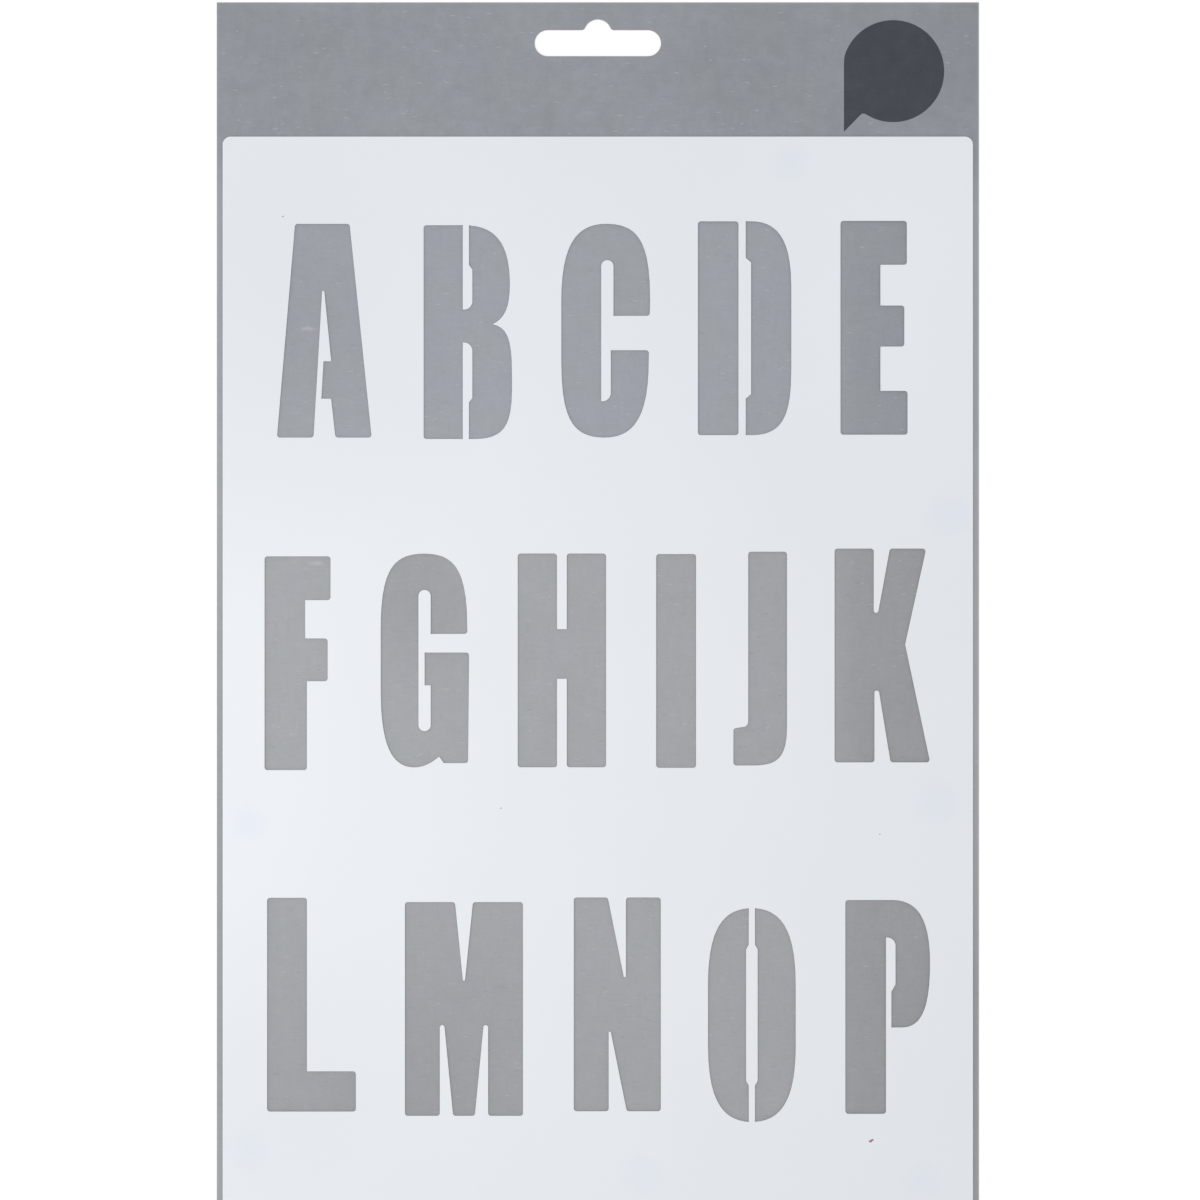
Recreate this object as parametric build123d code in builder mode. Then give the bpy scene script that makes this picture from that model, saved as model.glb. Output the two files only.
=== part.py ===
"""A lettering stencil on its hang card: a frosted plastic sheet cut with the capitals A to P, a grey
board card with a hang slot, and the glue spots that hold one on the other.

The part lies on its back. X runs across the card, Y runs up it towards the hang slot and Z points out of
its face. The origin is the middle of the card's back. Lengths are in millimetres.
"""

from build123d import *
import os

# Sheet of the stencil
sheet_width = 210.0
sheet_length = 300.0
sheet_thickness = 0.3
sheet_corner_radius = 2.2

# Hang card behind it
card_thickness = 0.6
card_margin = 1.75
header_height = 37.7

# Hang slot in the header: a bar with round ends and a round bump for the tip of a hook
hang_slot_width = 35.4
hang_slot_height = 7.35
hang_slot_drop = 11.4
hang_bump_radius = 3.85
hang_bump_rise = 3.0
hang_bump_flare_radius = 1.1

# Glue spots between the card and the sheet
glue_spot_diameter = 12.0
glue_spot_thickness = 0.2

# Sizes that the letters share
letter_height = 60.0
stem_width = 11.3
wide_stem_width = 11.5
arm_height = 12.4
bow_height = 10.3
round_height_share = 0.357
round_handle_share = 0.69
full_round_handle_share = 0.75
counter_width = 3.3
narrow_counter_width = 2.55
counter_step_height = 1.3
counter_end_round_share = 0.9
bridge_width = 1.6
narrow_bridge_width = 1.4
tongue_tip_width = 1.2
sharp_tip_width = 0.5
cut_corner_radius = 0.9
cut_overrun = 1.0

# A: two slanting legs with a crossbar between them
a_width = 26.7
a_top_indent = 5.1
a_top_width = 15.4
a_left_leg_width = 10.4
a_right_leg_width = 10.3
a_peak_indent = 13.05
a_peak_height = 41.1
a_crossbar_level = 10.9
a_crossbar_height = 10.6
a_crossbar_right_end = 15.2

# B: a stem with two bowls, which a crossbar joins to it
b_stem_width = 11.1
b_upper_width = 24.3
b_lower_width = 24.9
b_upper_round_width = 12.9
b_upper_round_height = 16.6
b_lower_round_width = 10.6
b_lower_round_height = 13.9
b_lower_side_height = 3.5
b_waist_width = 19.5
b_waist_rise = 2.2
b_upper_waist_handle_shares = ((0, 0.48), (0.21, 0.85))
b_lower_waist_handle_shares = ((0, 0.60), (0.11, 0.94))
b_upper_bow_height = 11.2
b_crossbar_rise = 1.7
b_crossbar_height = 9.35

# C: a round letter with a mouth on its right
c_upper_width = 25.0
c_lower_width = 24.6
c_mouth_height = 9.5
c_mouth_drop = 0.65

# D: a stem and a bowl, with a bridge between them from top to foot
d_width = 26.3
d_bridge_width = 1.9
d_counter_width = 3.4
d_round_width = 11.3
d_round_height = 18.5

# E: a stem with three arms
e_top_arm_reach = 18.7
e_middle_arm_reach = 18.0
e_foot_arm_reach = 18.9
e_middle_arm_rise = 0.5
e_middle_arm_height = 11.6

# F: a stem with two arms
f_stem_foot_width = 12.0
f_top_arm_reach = 18.6
f_middle_arm_reach = 17.8
f_middle_arm_rise = 0.95
f_middle_arm_height = 12.1

# G: a round letter with a spur, whose crossbar narrows the way into the lower counter
g_stem_width = 10.7
g_upper_width = 24.4
g_spur_width = 24.9
g_foot_width = 24.6
g_mouth_height = 5.1
g_mouth_rise = 4.85
g_terminal_side_height = 1.2
g_spur_foot_level = 1.2
g_spur_foot_width = 6.9
g_notch_indent = 16.4
g_notch_level = 3.0
g_crossbar_height = 9.3
g_foot_crown_indent = 9.5

# H: two stems with a crossbar between them
h_width = 24.9
h_slot_width = 2.6
h_crossbar_rise = 1.8
h_crossbar_height = 14.0

# J: a stem with a short hook
j_width = 15.15
j_stem_width = 11.0
j_hook_height = 11.1
j_hook_end_height = 10.5
j_round_width = 9.3
j_round_height = 11.0
j_throat_radius = 1.4

# K: a stem with an arm and a leg, which two tongues part from it
k_width = 26.9
k_stem_width = 11.1
k_arm_end = 25.8
k_waist_width = 19.9
k_waist_rise = 3.1
k_tongue_foot_width = 4.4
k_upper_tongue_height = 18.0
k_lower_tongue_height = 20.1

# L: a stem with a foot
l_foot_reach = 25.0
l_foot_height = 11.4

# M: two legs with a valley between them
m_width = 33.2
m_leg_width = 9.9
m_valley_width = 4.9
m_valley_height = 22.0
m_tongue_height = 25.4
m_tongue_foot_width = 3.6

# N: two legs with a slanting bar between them
n_width = 24.5
n_leg_width = 9.9
n_tongue_foot_width = 4.95
n_tongue_height = 22.3

# O: two halves, with a bridge between them from top to foot
o_width = 24.7
o_counter_width = 3.1

# P: a stem with one bowl, joined to it at the top
p_width = 23.85
p_bowl_height = 35.8
p_bow_height = 10.6
p_round_width = 10.7
p_round_height = 17.8
p_foot_round_width = 7.9
p_neck_height = 10.1
p_neck_flare_height = 2.0

# Left foot corner of each letter, as shares of the sheet's width and length
letter_place_shares = {
    "A": (0.0717, 0.7190),
    "B": (0.2674, 0.7177),
    "C": (0.4511, 0.7190),
    "D": (0.6332, 0.7213),
    "E": (0.8234, 0.7217),
    "F": (0.0553, 0.4086),
    "G": (0.2102, 0.4111),
    "H": (0.3929, 0.4112),
    "I": (0.5776, 0.4107),
    "J": (0.6806, 0.4129),
    "K": (0.8155, 0.4158),
    "L": (0.0587, 0.0898),
    "M": (0.2425, 0.0858),
    "N": (0.4677, 0.0901),
    "O": (0.6467, 0.0801),
    "P": (0.8299, 0.0877),
}

# Middle of each glue spot, as shares of the sheet's width and length
glue_spot_place_shares = {
    "glue_spot_top": (0.756, 0.976),
    "glue_spot_right_upper": (0.968, 0.648),
    "glue_spot_right_lower": (0.953, 0.380),
    "glue_spot_left": (0.032, 0.360),
    "glue_spot_bottom_left": (0.032, 0.054),
    "glue_spot_bottom_middle": (0.556, 0.034),
    "glue_spot_bottom_right": (0.930, 0.024),
}

# Card and sheet, worked out from the sizes above
card_width = sheet_width + 2 * card_margin
card_length = header_height + sheet_length + card_margin
sheet_level = card_thickness + glue_spot_thickness
sheet_foot = card_margin - card_length / 2
hang_slot_level = card_length / 2 - hang_slot_drop
letter_middle = letter_height / 2
round_height = round_height_share * letter_height
round_top_side = letter_height - round_height
counter_end_radius = counter_end_round_share * narrow_counter_width


def on_sheet(shares):
    """Place on the sheet, from its shares of the sheet's width and length."""
    return (shares[0] * sheet_width - sheet_width / 2, sheet_foot + shares[1] * sheet_length)


def bar(left, foot, right, top):
    """Add an upright rectangle to a letter, from its corners."""
    with Locations((left, foot)):
        Rectangle(right - left, top - foot, align=(Align.MIN, Align.MIN))


def cut(*points):
    """Take a shape with straight sides out of a letter, where the sheet stands in it."""
    Polygon(*points, align=None, mode=Mode.SUBTRACT)


def cut_bar(left, foot, right, top):
    """Take an upright rectangle out of a letter, from its corners."""
    cut((left, foot), (right, foot), (right, top), (left, top))


def round_tip(middle, end, width, pointing):
    """Round the end of a slot or a tongue, which points up with 1 and down with -1."""
    with Locations((middle, end - pointing * width / 2)):
        Circle(width / 2, mode=Mode.SUBTRACT)


def tongue(side, foot, inward, pointing, foot_width, tip_width, height):
    """Take a tapered tongue of the sheet out of a letter, with its upright side along a leg."""
    tip_start = foot + pointing * (height - tip_width / 2)
    cut(
        (side, foot),
        (side + inward * foot_width, foot),
        (side + inward * tip_width, tip_start),
        (side, tip_start),
    )
    round_tip(side + inward * tip_width / 2, foot + pointing * height, tip_width, pointing)


def curve(start, end, *handle_shares):
    """Draw a curve between two points, with its handles as shares of the way from the first to the last."""
    across, up = end[0] - start[0], end[1] - start[1]
    handles = [(start[0] + share[0] * across, start[1] + share[1] * up) for share in handle_shares]
    Bezier(start, *handles, end)


def round_corner(side, crown, handle_share=round_handle_share):
    """Draw a round corner from the end of an upright side to the crown of a bow."""
    curve(side, crown, (0, handle_share), (1 - handle_share, 1))


def end_corners(letter):
    """Corners of a letter on its foot line and on its top line."""
    levels = letter.vertices().group_by(Axis.Y)
    return levels[0] + levels[-1]


def corners_at(letter, *points):
    """Corners of a letter that are the nearest to the given points."""
    return [letter.vertices().sort_by_distance(point)[0] for point in points]


# A: the sheet's tongue between the legs has a neck, where the crossbar reaches into it
a_crossbar_top = a_crossbar_level + a_crossbar_height
a_peak_left = a_peak_indent - sharp_tip_width / 2
a_peak_right = a_peak_indent + sharp_tip_width / 2
a_peak_start = a_peak_height - sharp_tip_width / 2
a_tongue_slope = (a_peak_left - a_left_leg_width) / a_peak_start
a_neck_foot_right = a_left_leg_width + a_tongue_slope * a_crossbar_level + narrow_bridge_width
a_neck_top_right = a_left_leg_width + a_tongue_slope * a_crossbar_top + narrow_bridge_width
with BuildSketch() as letter_a:
    Polygon(
        (0, 0),
        (a_width, 0),
        (a_top_indent + a_top_width, letter_height),
        (a_top_indent, letter_height),
        align=None,
    )
    cut(
        (a_left_leg_width, 0),
        (a_width - a_right_leg_width, 0),
        (a_crossbar_right_end, a_crossbar_level),
        (a_neck_foot_right, a_crossbar_level),
        (a_neck_top_right, a_crossbar_top),
        (a_crossbar_right_end, a_crossbar_top),
        (a_peak_right, a_peak_start),
        (a_peak_left, a_peak_start),
    )
    round_tip(a_peak_indent, a_peak_height, sharp_tip_width, 1)
    fillet(end_corners(letter_a), cut_corner_radius)

# B: one bridge from the top and one from the foot, which each widen into a counter
b_upper_crown = b_upper_width - b_upper_round_width
b_lower_crown = b_lower_width - b_lower_round_width
b_upper_side = letter_height - b_upper_round_height
b_lower_side_top = b_lower_round_height + b_lower_side_height
b_waist_level = letter_middle + b_waist_rise
b_bridge_right = b_stem_width + bridge_width
b_counter_right = b_stem_width + narrow_counter_width
b_crossbar_level = letter_middle + b_crossbar_rise - b_crossbar_height / 2
b_crossbar_top = b_crossbar_level + b_crossbar_height
b_upper_counter_top = letter_height - b_upper_bow_height
with BuildSketch() as letter_b:
    with BuildLine():
        Polyline((b_lower_crown, 0), (0, 0), (0, letter_height), (b_upper_crown, letter_height))
        round_corner((b_upper_width, b_upper_side), (b_upper_crown, letter_height))
        curve(
            (b_upper_width, b_upper_side), (b_waist_width, b_waist_level), *b_upper_waist_handle_shares
        )
        curve(
            (b_lower_width, b_lower_side_top), (b_waist_width, b_waist_level), *b_lower_waist_handle_shares
        )
        Line((b_lower_width, b_lower_side_top), (b_lower_width, b_lower_round_height))
        round_corner((b_lower_width, b_lower_round_height), (b_lower_crown, 0), full_round_handle_share)
    make_face()
    cut(
        (b_stem_width, letter_height),
        (b_stem_width, b_crossbar_top),
        (b_counter_right, b_crossbar_top),
        (b_counter_right, b_upper_counter_top - counter_step_height),
        (b_bridge_right, b_upper_counter_top),
        (b_bridge_right, letter_height),
    )
    cut(
        (b_stem_width, 0),
        (b_bridge_right, 0),
        (b_bridge_right, bow_height),
        (b_counter_right, bow_height + counter_step_height),
        (b_counter_right, b_crossbar_level),
        (b_stem_width, b_crossbar_level),
    )
    fillet(
        corners_at(letter_b, (b_counter_right, b_crossbar_top), (b_counter_right, b_crossbar_level)),
        counter_end_radius,
    )
    fillet(corners_at(letter_b, (0, 0), (0, letter_height)), cut_corner_radius)

# C: two slots run out of a mouth on the right. The lower one is narrower, and its end slants
c_mouth_foot = letter_middle - c_mouth_drop - c_mouth_height / 2
c_mouth_top = c_mouth_foot + c_mouth_height
with BuildSketch() as letter_c:
    with BuildLine():
        round_corner((0, round_top_side), (c_upper_width / 2, letter_height))
        round_corner(
            (c_upper_width, round_top_side), (c_upper_width / 2, letter_height), full_round_handle_share
        )
        Line((0, round_top_side), (0, round_height))
        Line((c_upper_width, round_top_side), (c_lower_width, round_height))
        round_corner((0, round_height), (c_lower_width / 2, 0), full_round_handle_share)
        round_corner((c_lower_width, round_height), (c_lower_width / 2, 0))
    make_face()
    cut_bar(
        stem_width,
        c_mouth_top,
        stem_width + counter_width,
        letter_height - bow_height - counter_width / 2,
    )
    round_tip(stem_width + counter_width / 2, letter_height - bow_height, counter_width, 1)
    cut_bar(stem_width, bow_height, stem_width + narrow_counter_width, c_mouth_foot)
    fillet(corners_at(letter_c, (stem_width + narrow_counter_width, bow_height)), counter_end_radius)
    cut_bar(stem_width, c_mouth_foot, c_upper_width + cut_overrun, c_mouth_top)
    fillet(
        corners_at(letter_c, (c_upper_width, c_mouth_top), (c_lower_width, c_mouth_foot)),
        cut_corner_radius,
    )

# D: the bridge widens into a counter beside the bowl
d_crown = d_width - d_round_width
d_bridge_right = wide_stem_width + d_bridge_width
d_counter_right = wide_stem_width + d_counter_width
with BuildSketch() as letter_d:
    with BuildLine():
        Polyline((d_crown, 0), (0, 0), (0, letter_height), (d_crown, letter_height))
        round_corner((d_width, letter_height - d_round_height), (d_crown, letter_height))
        Line((d_width, letter_height - d_round_height), (d_width, d_round_height))
        round_corner((d_width, d_round_height), (d_crown, 0), full_round_handle_share)
    make_face()
    cut_bar(wide_stem_width, 0, d_bridge_right, letter_height)
    cut(
        (d_bridge_right, bow_height),
        (d_counter_right, bow_height + counter_step_height),
        (d_counter_right, letter_height - bow_height - counter_step_height),
        (d_bridge_right, letter_height - bow_height),
    )
    fillet(
        corners_at(
            letter_d,
            (0, 0),
            (0, letter_height),
            (wide_stem_width, 0),
            (wide_stem_width, letter_height),
        ),
        cut_corner_radius,
    )

# E
e_middle_arm_level = letter_middle + e_middle_arm_rise - e_middle_arm_height / 2
e_middle_arm_top = e_middle_arm_level + e_middle_arm_height
with BuildSketch() as letter_e:
    bar(0, 0, stem_width, letter_height)
    bar(0, letter_height - arm_height, e_top_arm_reach, letter_height)
    bar(0, e_middle_arm_level, e_middle_arm_reach, e_middle_arm_top)
    bar(0, 0, e_foot_arm_reach, arm_height)
    e_arm_corners = corners_at(
        letter_e,
        (e_top_arm_reach, letter_height - arm_height),
        (e_middle_arm_reach, e_middle_arm_top),
        (e_middle_arm_reach, e_middle_arm_level),
        (e_foot_arm_reach, arm_height),
    )
    fillet(end_corners(letter_e) + e_arm_corners, cut_corner_radius)

# F: its stem is a little wider under the middle arm
f_middle_arm_level = letter_middle + f_middle_arm_rise - f_middle_arm_height / 2
f_middle_arm_top = f_middle_arm_level + f_middle_arm_height
with BuildSketch() as letter_f:
    bar(0, 0, wide_stem_width, letter_height)
    bar(0, 0, f_stem_foot_width, f_middle_arm_level)
    bar(0, letter_height - arm_height, f_top_arm_reach, letter_height)
    bar(0, f_middle_arm_level, f_middle_arm_reach, f_middle_arm_top)
    f_arm_corners = corners_at(
        letter_f,
        (f_top_arm_reach, letter_height - arm_height),
        (f_middle_arm_reach, f_middle_arm_top),
        (f_middle_arm_reach, f_middle_arm_level),
    )
    fillet(end_corners(letter_f) + f_arm_corners, cut_corner_radius)

# G: a notch parts the round foot from the spur, and the crossbar leaves a neck beside the stem
g_counter_right = g_stem_width + counter_width
g_mouth_foot = letter_middle + g_mouth_rise - g_mouth_height / 2
g_mouth_top = g_mouth_foot + g_mouth_height
g_upper_side = g_mouth_top + g_terminal_side_height
with BuildSketch() as letter_g:
    with BuildLine():
        round_corner(
            (g_upper_width, g_upper_side), (g_upper_width / 2, letter_height), full_round_handle_share
        )
        round_corner((0, round_top_side), (g_upper_width / 2, letter_height), full_round_handle_share)
        Line((0, round_top_side), (0, round_height))
        round_corner((0, round_height), (g_foot_crown_indent, 0))
        Bezier(
            (g_foot_crown_indent, 0),
            ((g_foot_crown_indent + g_notch_indent) / 2, 0),
            (g_notch_indent, g_notch_level),
        )
        Polyline(
            (g_notch_indent, g_notch_level),
            (g_foot_width - g_spur_foot_width, g_spur_foot_level),
            (g_foot_width, g_spur_foot_level),
            (g_spur_width, g_mouth_foot),
            (g_upper_width, g_mouth_top),
            (g_upper_width, g_upper_side),
        )
    make_face()
    with Locations(((g_stem_width + g_counter_right) / 2, letter_middle)):
        SlotOverall(letter_height - 2 * bow_height, counter_width, rotation=90, mode=Mode.SUBTRACT)
    bar(
        g_stem_width + bridge_width,
        g_mouth_foot - g_crossbar_height,
        g_counter_right,
        g_mouth_foot,
    )
    cut_bar(g_stem_width, g_mouth_foot, g_spur_width + cut_overrun, g_mouth_top)
    fillet(
        corners_at(
            letter_g,
            (g_upper_width, g_mouth_top),
            (g_spur_width, g_mouth_foot),
            (g_foot_width, g_spur_foot_level),
        ),
        cut_corner_radius,
    )

# H
h_slot_left = (h_width - h_slot_width) / 2
h_slot_right = (h_width + h_slot_width) / 2
h_crossbar_level = letter_middle + h_crossbar_rise - h_crossbar_height / 2
with BuildSketch() as letter_h:
    bar(0, 0, h_width, letter_height)
    cut_bar(h_slot_left, 0, h_slot_right, h_crossbar_level)
    cut_bar(h_slot_left, h_crossbar_level + h_crossbar_height, h_slot_right, letter_height)
    fillet(end_corners(letter_h), cut_corner_radius)

# I
with BuildSketch() as letter_i:
    bar(0, 0, stem_width, letter_height)
    fillet(end_corners(letter_i), cut_corner_radius)

# J: the top of the hook rises to its throat
j_stem_left = j_width - j_stem_width
with BuildSketch() as letter_j:
    with BuildLine():
        round_corner((j_width, j_round_height), (j_width - j_round_width, 0), full_round_handle_share)
        Polyline(
            (j_width - j_round_width, 0),
            (0, 0),
            (0, j_hook_end_height),
            (j_stem_left, j_hook_height),
            (j_stem_left, letter_height),
            (j_width, letter_height),
            (j_width, j_round_height),
        )
    make_face()
    fillet(corners_at(letter_j, (j_stem_left, j_hook_height)), j_throat_radius)
    fillet(
        corners_at(
            letter_j,
            (0, 0),
            (0, j_hook_end_height),
            (j_stem_left, letter_height),
            (j_width, letter_height),
        ),
        cut_corner_radius,
    )

# K
with BuildSketch() as letter_k:
    Polygon(
        (0, 0),
        (k_width, 0),
        (k_waist_width, letter_middle + k_waist_rise),
        (k_arm_end, letter_height),
        (0, letter_height),
        align=None,
    )
    tongue(
        k_stem_width, letter_height, 1, -1, k_tongue_foot_width, tongue_tip_width, k_upper_tongue_height
    )
    tongue(stem_width, 0, 1, 1, k_tongue_foot_width, tongue_tip_width, k_lower_tongue_height)
    fillet(end_corners(letter_k), cut_corner_radius)

# L
with BuildSketch() as letter_l:
    bar(0, 0, stem_width, letter_height)
    bar(0, 0, l_foot_reach, l_foot_height)
    fillet(end_corners(letter_l) + corners_at(letter_l, (l_foot_reach, l_foot_height)), cut_corner_radius)

# M
m_middle = m_width / 2
m_valley_tip_start = letter_height - m_valley_height + sharp_tip_width / 2
with BuildSketch() as letter_m:
    bar(0, 0, m_width, letter_height)
    cut(
        (m_middle - m_valley_width / 2, letter_height),
        (m_middle - sharp_tip_width / 2, m_valley_tip_start),
        (m_middle + sharp_tip_width / 2, m_valley_tip_start),
        (m_middle + m_valley_width / 2, letter_height),
    )
    round_tip(m_middle, letter_height - m_valley_height, sharp_tip_width, -1)
    for leg_side, inward in ((m_leg_width, 1), (m_width - m_leg_width, -1)):
        tongue(leg_side, 0, inward, 1, m_tongue_foot_width, tongue_tip_width, m_tongue_height)
    fillet(end_corners(letter_m), cut_corner_radius)

# N
with BuildSketch() as letter_n:
    bar(0, 0, n_width, letter_height)
    for leg_side, foot, inward in ((n_leg_width, 0, 1), (n_width - n_leg_width, letter_height, -1)):
        tongue(leg_side, foot, inward, inward, n_tongue_foot_width, sharp_tip_width, n_tongue_height)
    fillet(end_corners(letter_n), cut_corner_radius)

# O: the bridge widens into a counter in the middle
o_middle = o_width / 2
with BuildSketch() as letter_o:
    with BuildLine():
        for side in (0, o_width):
            round_corner((side, round_top_side), (o_middle, letter_height))
            Line((side, round_top_side), (side, round_height))
            round_corner((side, round_height), (o_middle, 0))
    make_face()
    cut_bar(o_middle - bridge_width / 2, 0, o_middle + bridge_width / 2, letter_height)
    for sideways in (-1, 1):
        o_bridge_side = o_middle + sideways * bridge_width / 2
        o_counter_side = o_middle + sideways * o_counter_width / 2
        cut(
            (o_bridge_side, bow_height),
            (o_counter_side, bow_height + counter_step_height),
            (o_counter_side, letter_height - bow_height - counter_step_height),
            (o_bridge_side, letter_height - bow_height),
        )

# P: a neck runs up beside the stem and widens into the counter
p_bowl_foot = letter_height - p_bowl_height
p_side = letter_height - p_round_height
p_upper_crown = p_width - p_round_width
p_lower_crown = p_width - p_foot_round_width
p_neck_top = p_bowl_foot + p_neck_height
p_neck_right = wide_stem_width + narrow_bridge_width
p_counter_right = wide_stem_width + narrow_counter_width
p_counter_top = letter_height - p_bow_height
with BuildSketch() as letter_p:
    with BuildLine():
        Polyline(
            (p_lower_crown, p_bowl_foot),
            (wide_stem_width, p_bowl_foot),
            (wide_stem_width, 0),
            (0, 0),
            (0, letter_height),
            (p_upper_crown, letter_height),
        )
        round_corner((p_width, p_side), (p_upper_crown, letter_height))
        round_corner((p_width, p_side), (p_lower_crown, p_bowl_foot))
    make_face()
    cut(
        (wide_stem_width, p_bowl_foot),
        (p_neck_right, p_bowl_foot),
        (p_neck_right, p_neck_top),
        (p_counter_right, p_neck_top + p_neck_flare_height),
        (p_counter_right, p_counter_top),
        (wide_stem_width, p_counter_top),
    )
    fillet(corners_at(letter_p, (p_counter_right, p_counter_top)), counter_end_radius)
    fillet(corners_at(letter_p, (0, 0), (0, letter_height), (wide_stem_width, 0)), cut_corner_radius)

letters = {
    "A": letter_a,
    "B": letter_b,
    "C": letter_c,
    "D": letter_d,
    "E": letter_e,
    "F": letter_f,
    "G": letter_g,
    "H": letter_h,
    "I": letter_i,
    "J": letter_j,
    "K": letter_k,
    "L": letter_l,
    "M": letter_m,
    "N": letter_n,
    "O": letter_o,
    "P": letter_p,
}

# Stencil sheet, with its letters cut through it
with BuildPart() as stencil_sheet:
    with BuildSketch(Plane.XY.offset(sheet_level)):
        with Locations((0, sheet_foot + sheet_length / 2)):
            RectangleRounded(sheet_width, sheet_length, sheet_corner_radius)
        for name, letter in letters.items():
            with Locations(on_sheet(letter_place_shares[name])):
                add(letter.sketch, mode=Mode.SUBTRACT)
    extrude(amount=sheet_thickness)

# Hang slot, drawn about the middle of its bar
hang_bar_top = hang_slot_height / 2
hang_bump_level = hang_bar_top + hang_bump_rise - hang_bump_radius
with BuildSketch() as hang_slot:
    SlotOverall(hang_slot_width, hang_slot_height)
    with Locations((0, hang_bump_level)):
        Circle(hang_bump_radius)
    fillet(
        corners_at(hang_slot, (-hang_bump_radius, hang_bar_top), (hang_bump_radius, hang_bar_top)),
        hang_bump_flare_radius,
    )

# Hang card
with BuildPart() as hang_card:
    with BuildSketch():
        Rectangle(card_width, card_length)
        with Locations((0, hang_slot_level)):
            add(hang_slot.sketch, mode=Mode.SUBTRACT)
    extrude(amount=card_thickness)

os.makedirs("parts", exist_ok=True)
stencil_sheet.part.label = "stencil_sheet"
export_step(stencil_sheet.part, "parts/stencil_sheet.step")
hang_card.part.label = "hang_card"
export_step(hang_card.part, "parts/hang_card.step")

# Glue spots
for name, place_shares in glue_spot_place_shares.items():
    with BuildPart() as glue_spot:
        with BuildSketch(Plane.XY.offset(card_thickness)):
            with Locations(on_sheet(place_shares)):
                Circle(glue_spot_diameter / 2)
        extrude(amount=glue_spot_thickness)
    glue_spot.part.label = name
    export_step(glue_spot.part, f"parts/{name}.step")
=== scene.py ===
"""Looks of a lettering stencil on its hang card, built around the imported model.

A frosted plastic sheet, laser-cut with capitals, is held by glue spots on a grey board card with a hang slot.
X runs across the card, Y runs up it towards the hang slot and Z points out of its face. Meshes are in metres,
and a finish gives the places and sizes of its patterns in millimetres.
"""

import logging
import math
from dataclasses import dataclass
from enum import Enum
from typing import Iterable, NamedTuple, Sequence

import bmesh
import bpy
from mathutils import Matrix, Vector, noise


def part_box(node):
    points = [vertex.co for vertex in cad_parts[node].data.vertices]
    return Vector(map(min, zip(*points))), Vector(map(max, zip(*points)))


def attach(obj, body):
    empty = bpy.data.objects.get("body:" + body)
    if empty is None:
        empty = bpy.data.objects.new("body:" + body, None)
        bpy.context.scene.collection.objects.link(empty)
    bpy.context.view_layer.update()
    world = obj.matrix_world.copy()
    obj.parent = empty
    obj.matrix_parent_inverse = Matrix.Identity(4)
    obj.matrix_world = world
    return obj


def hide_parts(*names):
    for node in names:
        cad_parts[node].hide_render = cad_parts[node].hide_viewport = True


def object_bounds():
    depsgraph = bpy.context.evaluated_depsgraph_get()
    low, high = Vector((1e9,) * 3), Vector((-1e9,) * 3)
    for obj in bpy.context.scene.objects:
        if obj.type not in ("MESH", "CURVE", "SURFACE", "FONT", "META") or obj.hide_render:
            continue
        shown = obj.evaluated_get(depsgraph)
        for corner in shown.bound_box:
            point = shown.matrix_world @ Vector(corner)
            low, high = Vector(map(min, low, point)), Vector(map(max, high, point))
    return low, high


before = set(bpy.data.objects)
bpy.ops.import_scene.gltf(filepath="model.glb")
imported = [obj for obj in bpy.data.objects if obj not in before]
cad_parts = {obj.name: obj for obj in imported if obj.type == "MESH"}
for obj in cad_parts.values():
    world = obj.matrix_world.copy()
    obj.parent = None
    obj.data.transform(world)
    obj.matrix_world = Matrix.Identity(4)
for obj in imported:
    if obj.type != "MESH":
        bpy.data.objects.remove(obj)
cad_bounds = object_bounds()

# Lengths in metres: a millimetre, the gap at which points count as one, and how far glue is pressed down
MM = 0.001
TOUCH = 0.001 * MM
GLUE_PRESS = 0.035 * MM
# Faces that meet at more than this angle have a sharp edge between them
SHARP_ANGLE = math.radians(50.0)
# Over this share, a mark or an upright normal counts as whole
WHOLE = 0.99
# Upright share of the normal, from that of a cut edge to that of a flat face
FLAT_RANGE = (0.35, 0.75)
# How far a soft spot reaches above and below its face, in millimetres
SPOT_DEPTH = 5.0
NOISE_MIDDLE = 0.5
WHITE = (1.0, 1.0, 1.0)
Triple = tuple[float, float, float]
Pair = tuple[float, float]
Socket = bpy.types.NodeSocket
log = logging.getLogger("stencil")


class Body(Enum):
    """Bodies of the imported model."""

    CARD = "card"
    SHEET = "sheet"


class Slot(Enum):
    """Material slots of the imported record."""

    GREY_BOARD = "grey_board"
    FROSTED_PLASTIC = "frosted_plastic"
    GLUE = "glue"


class Mark(Enum):
    """Attributes that a mesh carries for its geometry tree or its material."""

    UPPER = "upper"
    TONE = "tone"


class Draw(Enum):
    """Random numbers that are drawn for each fibre: the seed, the lowest value and the highest."""

    TURN = (11, -0.3, 0.3)
    LENGTH = (12, 0.3, 1.2)
    WIDTH = (13, 0.6, 1.4)
    SIDE = (14, -1.0, 1.0)
    TONE = (15, 0.0, 1.0)


class Cloud(NamedTuple):
    """Soft clouds in a tone: their size in mm, how far they change the tone, and their seed."""

    size: float
    depth: float
    seed: float


class Spot(NamedTuple):
    """Soft spot on a face: its middle and its reach in mm, and the share by which its middle is lighter."""

    x: float
    y: float
    reach_x: float
    reach_y: float
    gain: float = 0.0


class Grain(NamedTuple):
    """Fine grain: its size in mm, the roughness between its tops, what they add to it, and how far they rise.

    The rise is in metres. The strength is the share of it that shows, and the detail counts its finer layers.
    """

    size: float
    roughness: float
    swing: float
    rise: float = 0.0
    strength: float = 0.0
    detail: float = 3.0


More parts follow.
